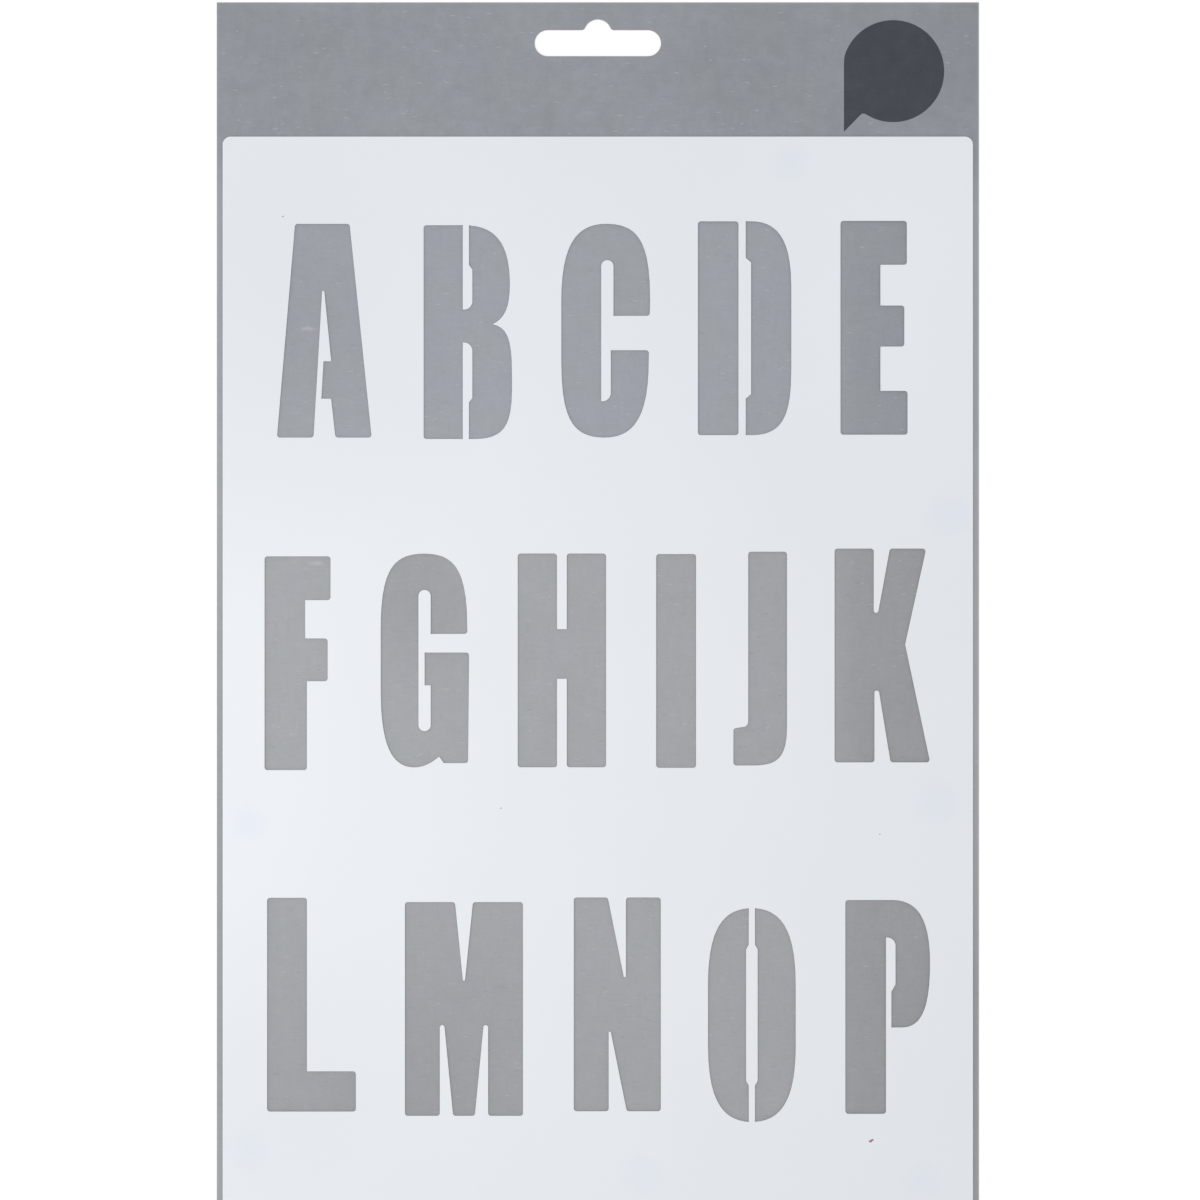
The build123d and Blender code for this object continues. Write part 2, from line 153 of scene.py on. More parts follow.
class NodeMaker:
    """Adds nodes to a shader or geometry tree, so that a tree reads as a list of steps."""

    def __init__(self, tree: bpy.types.NodeTree) -> None:
        """Keep the tree that the nodes go into."""
        self.tree = tree

    def add(self, kind: str, inputs: dict | None = None, **settings: object) -> bpy.types.Node:
        """Add a node.

        Args:
            kind: the node's type.
            inputs: sockets or values for its inputs, by name or number.
            settings: values for its properties.

        Returns:
            The new node.
        """
        node = self.tree.nodes.new(kind)
        for name, value in settings.items():
            setattr(node, name, value)
        for name, value in (inputs or {}).items():
            self.feed(node.inputs[name], value)
        return node

    def feed(self, socket: Socket, value: object) -> None:
        """Link a socket to another, or set its value."""
        if isinstance(value, bpy.types.NodeSocket):
            self.tree.links.new(value, socket)
        elif socket.type == "RGBA" and len(value) == 3:
            socket.default_value = (*value, 1.0)
        else:
            socket.default_value = value

    def math(self, operation: str, first: object, second: object = 0.0, third: object = 0.0) -> Socket:
        """Work out a number from up to three, by an operation of the Math node."""
        return self.add("ShaderNodeMath", {0: first, 1: second, 2: third}, operation=operation).outputs[0]

    def vector(self, operation: str, first: object, second: object) -> Socket:
        """Work out a vector from two, by an operation of the Vector Math node."""
        return self.add("ShaderNodeVectorMath", {0: first, 1: second}, operation=operation).outputs[0]

    def length(self, vector: Socket) -> Socket:
        """Length of a vector."""
        return self.add("ShaderNodeVectorMath", {0: vector}, operation="LENGTH").outputs["Value"]

    def axes(self, vector: Socket) -> Sequence[Socket]:
        """The three numbers of a vector."""
        return self.add("ShaderNodeSeparateXYZ", {0: vector}).outputs

    def join(self, x: object = 0.0, y: object = 0.0, z: object = 0.0) -> Socket:
        """Vector from its three numbers."""
        return self.add("ShaderNodeCombineXYZ", {0: x, 1: y, 2: z}).outputs[0]

    def more_than(self, first: object, second: object) -> Socket:
        """Whether a number is greater than another, in a geometry tree."""
        inputs = {0: first, 1: second}
        return self.add("FunctionNodeCompare", inputs, data_type="FLOAT", operation="GREATER_THAN").outputs[0]

    def both(self, first: Socket, second: Socket) -> Socket:
        """Whether two answers are both yes, in a geometry tree."""
        return self.add("FunctionNodeBooleanMath", {0: first, 1: second}, operation="AND").outputs[0]

    def ramp(self, value: Socket, low: float, high: float, start: float = 0.0, end: float = 1.0) -> Socket:
        """Map a value smoothly, so that it gives the start at its low end and the end at its high end."""
        inputs = {"Value": value, "From Min": low, "From Max": high, "To Min": start, "To Max": end}
        return self.add("ShaderNodeMapRange", inputs, interpolation_type="SMOOTHSTEP").outputs[0]

    def mix(self, share: object, first: object, second: object) -> Socket:
        """Mix two colours, with the given share of the second."""
        return self.add("ShaderNodeMix", {0: share, 6: first, 7: second}, data_type="RGBA").outputs[2]

    def shade(self, colour: object, share: object) -> Socket:
        """Scale a colour by a share, which is 1 where it stays as it is."""
        return self.vector("MULTIPLY", colour, self.join(share, share, share))

    def noise(self, place: Socket, size: float, detail: float = 3.0, seed: float = 0.0) -> Socket:
        """Noise of 0 to 1.

        Args:
            place: the place, in millimetres.
            size: the size of its largest grains, in millimetres.
            detail: how many finer layers it has.
            seed: a number that moves it to another part of the noise.

        Returns:
            The noise.
        """
        moved = self.vector("ADD", place, (seed, seed, seed))
        inputs = {"Vector": moved, "Scale": 1.0 / size, "Detail": detail, "Roughness": 0.6}
        return self.add("ShaderNodeTexNoise", inputs).outputs[0]

    def object_mm(self) -> Socket:
        """Place on the piece, in millimetres."""
        place = self.add("ShaderNodeTexCoord").outputs["Object"]
        return self.vector("DIVIDE", place, (MM, MM, MM))

    def on_flat_face(self) -> Socket:
        """1 on a piece's flat faces and 0 on its cut edges."""
        normal = self.add("ShaderNodeTexCoord").outputs["Normal"]
        return self.ramp(self.math("ABSOLUTE", self.axes(normal)[2]), *FLAT_RANGE)

    def seen_directly(self) -> Socket:
        """1 for a view from the camera, also by way of a mirror or glass, and 0 for light."""
        path = self.add("ShaderNodeLightPath").outputs
        seen = self.math("MAXIMUM", path["Is Camera Ray"], path["Is Glossy Ray"])
        return self.math("MAXIMUM", seen, path["Is Transmission Ray"])

    def group(self, tree: bpy.types.NodeTree, **inputs: object) -> Socket:
        """Add a node group, with sockets or values for its inputs by name, and return its output."""
        return self.add("ShaderNodeGroup", inputs, node_tree=tree).outputs[0]

    def declare(self, **inputs: object) -> None:
        """Give the tree inputs, by name and default value, each of the kind that its value has."""
        kinds = {tuple: "NodeSocketVector", float: "NodeSocketFloat", int: "NodeSocketInt"}
        for title, value in inputs.items():
            kind = kinds[type(value)]
            socket = self.tree.interface.new_socket(name=title, in_out="INPUT", socket_type=kind)
            socket.default_value = value


class GroupMaker(NodeMaker):
    """Maker of a shader node group that puts out one number."""

    def __init__(self, name: str, output: str, **inputs: object) -> None:
        """Start the group.

        Args:
            name: the group's name.
            output: the name of its output.
            inputs: each input's name and its default value.
        """
        super().__init__(bpy.data.node_groups.new(name, "ShaderNodeTree"))
        self.declare(**inputs)
        self.tree.interface.new_socket(name=output, in_out="OUTPUT", socket_type="NodeSocketFloat")
        self.given = self.add("NodeGroupInput").outputs

    def end(self, result: Socket) -> bpy.types.NodeTree:
        """Link the result to the output and return the finished tree."""
        self.add("NodeGroupOutput", {0: result})
        return self.tree


@dataclass(frozen=True)
class Effects:
    """Shader node groups that more than one finish uses."""

    mottle: bpy.types.NodeTree
    soft_spot: bpy.types.NodeTree
    rim: bpy.types.NodeTree

    @classmethod
    def build(cls) -> "Effects":
        """Build every group once."""
        return cls(cls.mottle_group(), cls.soft_spot_group(), cls.rim_group())

    @staticmethod
    def mottle_group() -> bpy.types.NodeTree:
        """Uneven tone in soft clouds, which lies about 1 and swings by up to the depth."""
        maker = GroupMaker("mottle", "Tone", Place=(0.0, 0.0, 0.0), Size=20.0, Depth=0.05, Seed=0.0)
        seed = maker.given["Seed"]
        moved = maker.vector("ADD", maker.given["Place"], maker.join(seed, seed, seed))
        scale = maker.math("DIVIDE", 1.0, maker.given["Size"])
        inputs = {"Vector": moved, "Scale": scale, "Detail": 3.0, "Roughness": 0.55}
        cloud = maker.add("ShaderNodeTexNoise", inputs).outputs[0]
        swing = maker.math("MULTIPLY", maker.math("SUBTRACT", cloud, NOISE_MIDDLE), maker.given["Depth"])
        return maker.end(maker.math("MULTIPLY_ADD", swing, 2.0, 1.0))

    @staticmethod
    def soft_spot_group() -> bpy.types.NodeTree:
        """Soft spot about a place, whose outline a number makes ragged."""
        maker = GroupMaker(
            "soft_spot", "Mask", Place=(0.0, 0.0, 0.0), Middle=(0.0, 0.0, 0.0), Reach=(6.0, 6.0, 6.0),
            Ragged=0.0, Softness=0.4,
        )
        away = maker.vector("SUBTRACT", maker.given["Place"], maker.given["Middle"])
        distance = maker.length(maker.vector("DIVIDE", away, maker.given["Reach"]))
        inside = maker.math("SUBTRACT", 1.0, maker.math("ADD", distance, maker.given["Ragged"]))
        return maker.end(maker.ramp(maker.math("DIVIDE", inside, maker.given["Softness"]), 0.0, 1.0))

    @staticmethod
    def rim_group() -> bpy.types.NodeTree:
        """Band along the outline of a rectangle, uneven as handling leaves it."""
        wear_size, wear_detail, fade = 1.4, 4.0, 2.0
        maker = GroupMaker(
            "rim", "Mask", Place=(0.0, 0.0, 0.0), Middle=(0.0, 0.0, 0.0), HalfSize=(100.0, 150.0, 1.0),
            Width=0.5,
        )
        away = maker.vector("SUBTRACT", maker.given["Place"], maker.given["Middle"])
        reach = maker.add("ShaderNodeVectorMath", {0: away}, operation="ABSOLUTE").outputs[0]
        depth = maker.axes(maker.vector("SUBTRACT", maker.given["HalfSize"], reach))
        worn = maker.noise(maker.given["Place"], wear_size, wear_detail)
        uneven = maker.math("DIVIDE", maker.math("MINIMUM", depth[0], depth[1]), maker.given["Width"])
        return maker.end(maker.ramp(maker.math("DIVIDE", uneven, worn), fade, 0.0))


def from_srgb(*levels: int) -> Triple:
    """Linear colour from its levels of red, green and blue on a screen, which run from 0 to 255."""
    top, offset, curve = 255, 0.055, 2.4
    return tuple(((level / top + offset) / (1 + offset)) ** curve for level in levels)


class SurfaceMaker(NodeMaker):
    """Maker of a material, with a Principled shader that its nodes lead to."""

    def __init__(self, name: str, effects: Effects) -> None:
        """Start the material of the given name, with the shared node groups at hand."""
        self.material = bpy.data.materials.new(name)
        self.material.use_nodes = True
        super().__init__(self.material.node_tree)
        self.shader = self.tree.nodes["Principled BSDF"]
        self.effects = effects
        self.place = self.object_mm()

    def grained(self, grain: Grain) -> Socket:
        """Raise the surface by a grain where it has a rise, and return the roughness that the grain gives."""
        tops = self.noise(self.place, grain.size, grain.detail)
        if grain.rise > 0.0:
            inputs = {"Strength": grain.strength, "Distance": grain.rise, "Height": tops}
            self.feed(self.shader.inputs["Normal"], self.add("ShaderNodeBump", inputs).outputs[0])
        return self.math("MULTIPLY_ADD", tops, grain.swing, grain.roughness)

    def mottled(self, size: float, depth: object, seed: float) -> Socket:
        """Uneven tone about 1, from a cloud's size, how far its tone swings, and its seed."""
        return self.group(self.effects.mottle, Place=self.place, Size=size, Depth=depth, Seed=seed)

    def dents(self, size: float) -> Socket:
        """Noise about 0, with dents of the given size, that makes an outline ragged."""
        return self.math("SUBTRACT", self.noise(self.place, size), NOISE_MIDDLE)

    def spot(self, spot: Spot, level: float, ragged: object = 0.0, softness: float = 1.0) -> Socket:
        """Mask of a soft spot on a flat face.

        Args:
            spot: the spot.
            level: the height of the face, in millimetres.
            ragged: a number that dents its outline.
            softness: the share of its reach over which it fades.

        Returns:
            The mask.
        """
        return self.group(
            self.effects.soft_spot, Place=self.place, Middle=(spot.x, spot.y, level),
            Reach=(spot.reach_x, spot.reach_y, SPOT_DEPTH), Ragged=ragged, Softness=softness,
        )

    def paint_light_and_shade(self, colour: Socket, spots: Iterable[Spot], level: float) -> Socket:
        """Paint soft light and shade into a colour, lighter or darker about a few spots on a face at the
        given level, in mm.
        """
        for spot in spots:
            colour = self.shade(colour, self.math("MULTIPLY_ADD", self.spot(spot, level), spot.gain, 1.0))
        return colour

    def dress(self, colour: Socket, roughness: Socket, cover: Socket | None = None) -> bpy.types.Material:
        """Link the colour, the roughness and the cover to the shader.

        Args:
            colour: the colour.
            roughness: the roughness.
            cover: how far the surface hides what lies behind it, or None where it does so fully.

        Returns:
            The finished material.
        """
        self.feed(self.shader.inputs["Base Color"], colour)
        self.feed(self.shader.inputs["Roughness"], roughness)
        if cover is not None:
            self.feed(self.shader.inputs["Alpha"], cover)
        return self.material


@dataclass(frozen=True)
class CallOutPrint:
    """Dark call-out printed on the header: a disc with an upright left side that ends in a tail. In mm."""

    ink: Triple = from_srgb(63, 67, 75)
    radius: float = 14.3
    from_right_edge: float = 24.0
    from_top_edge: float = 19.26
    left_side: float = 13.8
    tail_drop: float = 17.0
    tail_angle: float = math.radians(45.5)
    throat_round: float = 1.6
    shoulder_round: float = 0.7
    edge_softness: float = 0.07

    def mask(self, maker: SurfaceMaker, corner: Vector) -> Socket:
        """Mask of the print.

        Args:
            maker: the maker of the material.
            corner: the card's top right corner.

        Returns:
            1 where the ink lies and 0 elsewhere.
        """
        middle = (corner.x - self.from_right_edge, corner.y - self.from_top_edge, 0.0)
        across, up, _ = maker.axes(maker.vector("SUBTRACT", maker.place, middle))
        disc = maker.math("SUBTRACT", maker.length(maker.join(across, up)), self.radius)
        along = maker.math("MULTIPLY", maker.math("ADD", across, self.left_side), math.sin(self.tail_angle))
        rise = maker.math("MULTIPLY", maker.math("ADD", up, self.tail_drop), math.cos(self.tail_angle))
        tail = maker.math("MAXIMUM", maker.math("SUBTRACT", along, rise), maker.math("MAXIMUM", across, up))
        beyond = maker.math("SUBTRACT", -self.left_side, across)
        disc = maker.math("SMOOTH_MAX", disc, beyond, self.shoulder_round)
        shape = maker.math("MAXIMUM", maker.math("SMOOTH_MIN", disc, tail, self.throat_round), beyond)
        return maker.ramp(shape, self.edge_softness, -self.edge_softness)


@dataclass(frozen=True)
class GreyBoardFinish:
    """Uncoated grey board: clouds in its tone, a darker header, pale rims and a ply edge, with painted shade
    that darkens it towards the top, up the right side and in soft spots. In mm.
    """

    colour: Triple = from_srgb(165, 167, 171)
    # Darker towards the top rows and in the header: painted shade of the light's fall, in the header partly
    # the board's own tone
    upper_shaded_colour: Triple = from_srgb(161, 164, 171)
    header_shaded_colour: Triple = from_srgb(151, 154, 161)
    core_colour: Triple = from_srgb(170, 169, 166)
    rub_colour: Triple = from_srgb(190, 191, 193)
    upper_shade_range: Pair = (25.0, 55.0)
    header_start: float = 110.0
    # Painted shade: the board is darker towards the right, under the sheet and more mildly in the header
    right_shade_range: Pair = (62.0, 75.0)
    right_shade_fade: float = 6.0
    right_painted_shade: float = 0.89
    header_shade_start: float = 31.0
    header_painted_shade: float = 0.95
    header_clouds: float = 1.7
    fine_cloud: Cloud = Cloud(0.9, 0.05, 15.0)
    clouds: tuple[Cloud, ...] = (Cloud(24.0, 0.035, 3.0), Cloud(4.0, 0.04, 8.0))
    weaves: tuple[tuple[Triple, float], ...] = (((0.35, 2.2, 1.0), 0.05), ((0.9, 0.14, 1.0), 0.03))
    weave_size: float = 1.1
    weave_light: Pair = (0.56, 0.74)
    weave_dark: Pair = (0.44, 0.26)
    rim_width: float = 0.8
    rim_share: float = 0.15
    rubs: tuple[Spot, ...] = (Spot(-81.0, 78.3, 3.2, 0.9), Spot(-79.0, 12.6, 3.0, 1.0))
    rub_dents: float = 1.6
    rub_share: float = 0.5
    # Soft darker spots: painted shade, together with the board's own uneven tone
    painted_light_and_shade: tuple[Spot, ...] = (
        Spot(-85.0, 155.0, 50.0, 35.0, -0.05),
        Spot(45.0, 155.0, 35.0, 35.0, -0.05),
        Spot(-80.0, 80.0, 60.0, 45.0, -0.06),
        Spot(-52.0, 5.0, 28.0, 40.0, -0.09),
        Spot(-108.0, -65.0, 22.0, 120.0, -0.11),
        Spot(-55.0, -135.0, 75.0, 75.0, -0.1),
        Spot(106.0, -130.0, 20.0, 90.0, -0.12),
    )
    cool_cast: Triple = (0.998, 0.995, 1.01)
    warm_cast: Triple = (0.995, 1.004, 0.985)
    cast_size: float = 14.0
    cast_detail: float = 4.0
    cast_seed: float = 31.0
    cast_range: Pair = (0.42, 0.58)
    ply_scale: Triple = (0.6, 0.6, 9.0)
    ply_range: Pair = (0.3, 0.7)
    ply_tones: Pair = (0.8, 1.1)
    shine: float = 0.3
    grain: Grain = Grain(size=0.22, roughness=0.66, swing=0.12, rise=0.02 * MM, strength=0.6, detail=2.0)
    ink_roughness: float = -0.2
    call_out: CallOutPrint = CallOutPrint()

    def build(self, effects: Effects) -> bpy.types.Material:
        """Build the material from the shared node groups."""
        maker = SurfaceMaker("hang_card_board", effects)
        maker.shader.inputs["Specular IOR Level"].default_value = self.shine
        low, high = (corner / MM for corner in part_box("hang_card"))
        place = maker.place
        header = maker.ramp(maker.axes(place)[1], self.header_start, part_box("stencil_sheet")[1].y / MM)
        tone = self.tone(maker, header)
        clouds = maker.noise(place, self.cast_size, self.cast_detail, self.cast_seed)
        cast = maker.mix(maker.ramp(clouds, *self.cast_range), self.cool_cast, self.warm_cast)
        colour = maker.shade(maker.vector("MULTIPLY", self.board_colour(maker, header), cast), tone)
        # Painted shade in soft spots on the board
        colour = maker.paint_light_and_shade(colour, self.painted_light_and_shade, high.z)
        dents = maker.dents(self.rub_dents)
        for spot in self.rubs:
            rub = maker.math("MULTIPLY", maker.spot(spot, high.z, dents), self.rub_share)
            colour = maker.mix(rub, colour, self.rub_colour)
        ink = self.call_out.mask(maker, high)
        colour = maker.mix(ink, colour, maker.shade(self.call_out.ink, maker.math("MULTIPLY", tone, tone)))
        middle, half = (low + high) / 2, (high - low) / 2
        rim = maker.group(effects.rim, Place=place, Middle=middle, HalfSize=half, Width=self.rim_width)
        colour = maker.mix(maker.math("MULTIPLY", rim, self.rim_share), colour, self.rub_colour)
        edge = maker.shade(self.core_colour, self.plies(maker))
        colour = maker.mix(maker.on_flat_face(), edge, colour)
        rough = maker.math("MULTIPLY_ADD", ink, self.ink_roughness, maker.grained(self.grain))
        return maker.dress(colour, rough)

    def board_colour(self, maker: SurfaceMaker, header: Socket) -> Socket:
        """Colour of the board, which is darker towards the top, in the header and up the right side. These
        are painted shade of the light's fall, and in the header partly the board's own tone.

        Args:
            maker: the maker of the material.
            header: the mask of the card's header.

        Returns:
            The colour.
        """
        across, up, _ = maker.axes(maker.place)
        sheet_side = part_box("stencil_sheet")[1].x / MM
        # Painted shade: the colour darkens towards the top rows and the header, the header partly by its own
        # tone
        upper = maker.ramp(up, *self.upper_shade_range)
        colour = maker.mix(header, maker.mix(upper, self.colour, self.upper_shaded_colour), self.header_shaded_colour)
        # Painted shade: darker towards the right, back to full on the strip beyond the sheet's right edge,
        # and milder in the header
        right_column_shade = maker.ramp(across, *self.right_shade_range, 1.0, self.right_painted_shade)
        strip_unshaded = maker.ramp(across, sheet_side - self.right_shade_fade, sheet_side, 0.0, 1.0 - self.right_painted_shade)
        right_column_shade = maker.math("ADD", right_column_shade, strip_unshaded)
        header_column_shade = maker.ramp(across, self.header_shade_start, sheet_side, 1.0, self.header_painted_shade)
        share = maker.math("SUBTRACT", header_column_shade, right_column_shade)
        return maker.shade(colour, maker.math("MULTIPLY_ADD", share, header, right_column_shade))

    def tone(self, maker: SurfaceMaker, header: Socket) -> Socket:
        """Uneven tone of the board's clouds and of the fibres that lie across it.

        Args:
            maker: the maker of the material.
            header: the mask of the card's header, where the clouds are stronger.

        Returns:
            The tone, about 1.
        """
        tone = maker.mottled(*self.fine_cloud)
        for cloud in self.clouds:
            deeper = maker.math("MULTIPLY_ADD", header, cloud.depth * self.header_clouds, cloud.depth)
            tone = maker.math("MULTIPLY", tone, maker.mottled(cloud.size, deeper, cloud.seed))
        for scale, depth in self.weaves:
            weave = maker.noise(maker.vector("MULTIPLY", maker.place, scale), self.weave_size)
            light, dark = maker.ramp(weave, *self.weave_light), maker.ramp(weave, *self.weave_dark)
            swing = maker.math("SUBTRACT", light, dark)
            tone = maker.math("MULTIPLY", tone, maker.math("MULTIPLY_ADD", swing, depth, 1.0))
        return tone

    def plies(self, maker: SurfaceMaker) -> Socket:
        """Tone of the thin plies that a cut edge of board shows, about 1."""
        plies = maker.noise(maker.vector("MULTIPLY", maker.place, self.ply_scale), 1.0)
        return maker.ramp(plies, *self.ply_range, *self.ply_tones)


@dataclass(frozen=True)
class FrostedPlasticFinish:
    """Frosted sheet: milky, with a fine grain, clearer where glue wets it and glossier at its cuts, with a
    painted highlight on the cuts and painted light and shade in soft spots. In mm.
    """

    colour: Triple = from_srgb(236, 240, 245)
    # Paler cut edges: a painted highlight for the light that glows along the cuts
    cut_painted_highlight: Triple = from_srgb(243, 246, 248)
    wet_colour: Triple = from_srgb(234, 239, 247)
    speck_colour: Triple = from_srgb(120, 124, 128)
    red_speck_colour: Triple = from_srgb(140, 58, 78)
    cover: float = 0.975
    wet_cover: float = 0.957
    wet_reach: float = 1.3
    wet_softness: float = 0.9
    wet_dents: float = 9.0
    haze: Cloud = Cloud(40.0, 0.012, 5.0)
    grain: Grain = Grain(size=0.16, roughness=0.45, swing=0.1, rise=0.008 * MM, strength=0.5, detail=2.0)
    cut_roughness: float = -0.2
    specks: tuple[Spot, ...] = (
        Spot(-88.2, 109.7, 0.30, 0.26), Spot(-27.1, -56.0, 0.26, 0.22), Spot(79.0, -63.3, 0.24, 0.18)
    )
    red_specks: tuple[Spot, ...] = (Spot(76.35, -149.3, 0.55, 0.42), Spot(76.85, -148.95, 0.50, 0.40))
    speck_softness: float = 0.5
    speck_dents: float = 0.2
    speck_share: float = 0.9
    # Painted light and shade: the sheet is darker at its top left and bottom left and lighter at its top
    # right
    painted_light_and_shade: tuple[Spot, ...] = (
        Spot(-95.0, 78.0, 80.0, 90.0, -0.05),
        Spot(95.0, 105.0, 70.0, 110.0, 0.04),
        Spot(-95.0, -130.0, 70.0, 60.0, -0.035),
    )

    def build(self, effects: Effects, glue_places: Iterable[tuple[Vector, Vector]]) -> bpy.types.Material:
        """Build the material.

        Args:
            effects: the shared node groups.
            glue_places: the middle and the half size of each glue spot.

        Returns:
            The material.
        """
        maker = SurfaceMaker("stencil_plastic", effects)
        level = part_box("stencil_sheet")[1].z / MM
        haze = maker.mottled(*self.haze)
        cut = maker.math("SUBTRACT", 1.0, maker.on_flat_face())
        wetted = [Spot(middle.x, middle.y, *(half.xy * self.wet_reach)) for middle, half in glue_places]
        wet = self.spots(maker, wetted, level, self.wet_softness, self.wet_dents)
        # Painted light and shade in soft spots on the sheet
        colour = maker.paint_light_and_shade(maker.mix(wet, self.colour, self.wet_colour), self.painted_light_and_shade, level)
        # Painted highlight: the cut edges are paler than the face
        colour = maker.mix(cut, colour, self.cut_painted_highlight)
        kinds = ((self.speck_colour, self.specks), (self.red_speck_colour, self.red_specks))
        for speck_colour, specks in kinds:
            speck = self.spots(maker, specks, level, self.speck_softness, self.speck_dents)
            colour = maker.mix(maker.math("MULTIPLY", speck, self.speck_share), colour, speck_colour)
        rough = maker.math("MULTIPLY_ADD", cut, self.cut_roughness, maker.grained(self.grain))
        cover = maker.math("MULTIPLY_ADD", wet, self.wet_cover - self.cover, self.cover)
        return maker.dress(maker.shade(colour, haze), rough, cover)

    @staticmethod
    def spots(
        maker: SurfaceMaker, places: Iterable[Spot], level: float, softness: float, dent_size: float
    ) -> Socket:
        """Mask of several soft spots.

        Args:
            maker: the maker of the material.
            places: the spots.
            level: the height of the sheet's face, in millimetres.
            softness: the share of its reach over which a spot fades.
            dent_size: the size of the dents in its outline.

        Returns:
            The mask.
        """
        dents = maker.dents(dent_size)
        mask: object = 0.0
        for spot in places:
            mask = maker.math("MAXIMUM", mask, maker.spot(spot, level, dents, softness))
        return mask


@dataclass(frozen=True)
class MeltedEdgeFinish:
    """Plastic that the laser melted along the cuts: smoother than the face, and a little paler as a painted
    highlight along the cuts. In mm.
    """

    # Paler than the sheet: a painted highlight along the cut edges
    colour: Triple = from_srgb(246, 248, 250)
    cloud: Cloud = Cloud(2.5, 0.04, 2.0)
    grain: Grain = Grain(size=0.5, roughness=0.2, swing=0.2)

    def build(self, effects: Effects) -> bpy.types.Material:
        """Build the material from the shared node groups."""
        maker = SurfaceMaker("melted_plastic", effects)
        return maker.dress(maker.shade(self.colour, maker.mottled(*self.cloud)), maker.grained(self.grain))


@dataclass(frozen=True)
class FibreFinish:
    """Loose fibres in the board, each a little paler or darker than it. In mm."""

    pale: Triple = from_srgb(186, 188, 191)
    dark: Triple = from_srgb(139, 142, 147)
    tone_range: Pair = (0.25, 0.75)
    cloud: Cloud = Cloud(0.6, 0.1, 4.0)
    grain: Grain = Grain(size=0.1, roughness=0.62, swing=0.2)
    call_out: CallOutPrint = CallOutPrint()

    def build(self, effects: Effects) -> bpy.types.Material:
        """Build the material from the shared node groups."""
        maker = SurfaceMaker("board_fibre", effects)
        drawn = maker.add("ShaderNodeAttribute", attribute_name=Mark.TONE.value).outputs["Fac"]
        tone = maker.mix(maker.ramp(drawn, *self.tone_range), self.dark, self.pale)
        ink = self.call_out.mask(maker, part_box("hang_card")[1] / MM)
        colour = maker.mix(ink, tone, self.call_out.ink)
        return maker.dress(maker.shade(colour, maker.mottled(*self.cloud)), maker.grained(self.grain))


@dataclass(frozen=True)
class GlueFinish:
    """Soft removable glue: milky, slightly glossy and wrinkled where the sheet pressed it. In mm."""

    colour: Triple = from_srgb(212, 211, 204)
    cloud: Cloud = Cloud(2.2, 0.09, 6.0)
    wrinkles: Grain = Grain(size=0.8, roughness=0.2, swing=0.25, rise=0.03 * MM, strength=0.8)

    def build(self, effects: Effects) -> bpy.types.Material:
        """Build the material from the shared node groups."""
        maker = SurfaceMaker("removable_glue", effects)
        return maker.dress(maker.shade(self.colour, maker.mottled(*self.cloud)), maker.grained(self.wrinkles))


def merged_copy(node: str) -> bmesh.types.BMesh:
    """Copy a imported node's mesh, with its loose triangles merged and without its stored normals.

    Args:
        node: the node's name.

    Returns:
        The merged mesh.
    """
    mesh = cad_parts[node].data.copy()
    stored = mesh.attributes.get("custom_normal")
    if stored is not None:
        mesh.attributes.remove(stored)
    shape = bmesh.new()
    shape.from_mesh(mesh)
    bpy.data.meshes.remove(mesh)
    bmesh.ops.remove_doubles(shape, verts=shape.verts, dist=TOUCH)
    bmesh.ops.recalc_face_normals(shape, faces=shape.faces)
    return shape


def to_piece(
    name: str, shape: bmesh.types.BMesh, material: bpy.types.Material,
    smooth_angle: float = math.radians(40.0),
) -> bpy.types.Object:
    """Turn a mesh into a piece at the origin.

    Args:
        name: the piece's name.
        shape: its mesh, which is freed.
        material: its material.
        smooth_angle: faces that meet at less than this angle are shaded as one surface.

    Returns:
        The piece.
    """
    mesh = bpy.data.meshes.new(name)
    shape.to_mesh(mesh)
    shape.free()
    mesh.materials.append(material)
    mesh.polygons.foreach_set("material_index", [0] * len(mesh.polygons))
    mesh.polygons.foreach_set("use_smooth", [True] * len(mesh.polygons))
    mesh.set_sharp_from_angle(angle=smooth_angle)
    piece = bpy.data.objects.new(name, mesh)
    bpy.context.scene.collection.objects.link(piece)
    return piece


class GeometryMaker(NodeMaker):
    """Maker of a geometry tree, which takes a mesh and gives one back in one material."""

    def __init__(self, name: str, **inputs: object) -> None:
        """Start the tree.

        Args:
            name: the tree's name.
            inputs: each further input's name and its default value.
        """
        super().__init__(bpy.data.node_groups.new(name, "GeometryNodeTree"))
        interface = self.tree.interface
        for way in ("INPUT", "OUTPUT"):
            interface.new_socket(name="Geometry", in_out=way, socket_type="NodeSocketGeometry")
        self.declare(**inputs)
        interface.new_socket(name="Material", in_out="INPUT", socket_type="NodeSocketMaterial")
        self.given = self.add("NodeGroupInput").outputs

    def sharp(self) -> Socket:
        """Whether the faces beside an edge meet at more than the tree's least angle."""
        angle = self.add("GeometryNodeInputMeshEdgeAngle").outputs["Unsigned Angle"]
        return self.more_than(angle, self.given["LeastAngle"])

    def chance(self, draw: Draw) -> Socket:
        """Random number for each point or instance, from a fixed seed."""
        seed, low, high = draw.value
        return self.add("FunctionNodeRandomValue", {2: low, 3: high, 8: seed}, data_type="FLOAT").outputs[1]

    def end(self, geometry: Socket) -> bpy.types.NodeTree:
        """End the tree with real meshes in its material, and return it."""
        real = self.add("GeometryNodeRealizeInstances", {0: geometry}).outputs[0]
        dressed = self.add("GeometryNodeSetMaterial", {"Geometry": real, "Material": self.given["Material"]})
        self.add("NodeGroupOutput", {0: dressed.outputs[0]})
        return self.tree


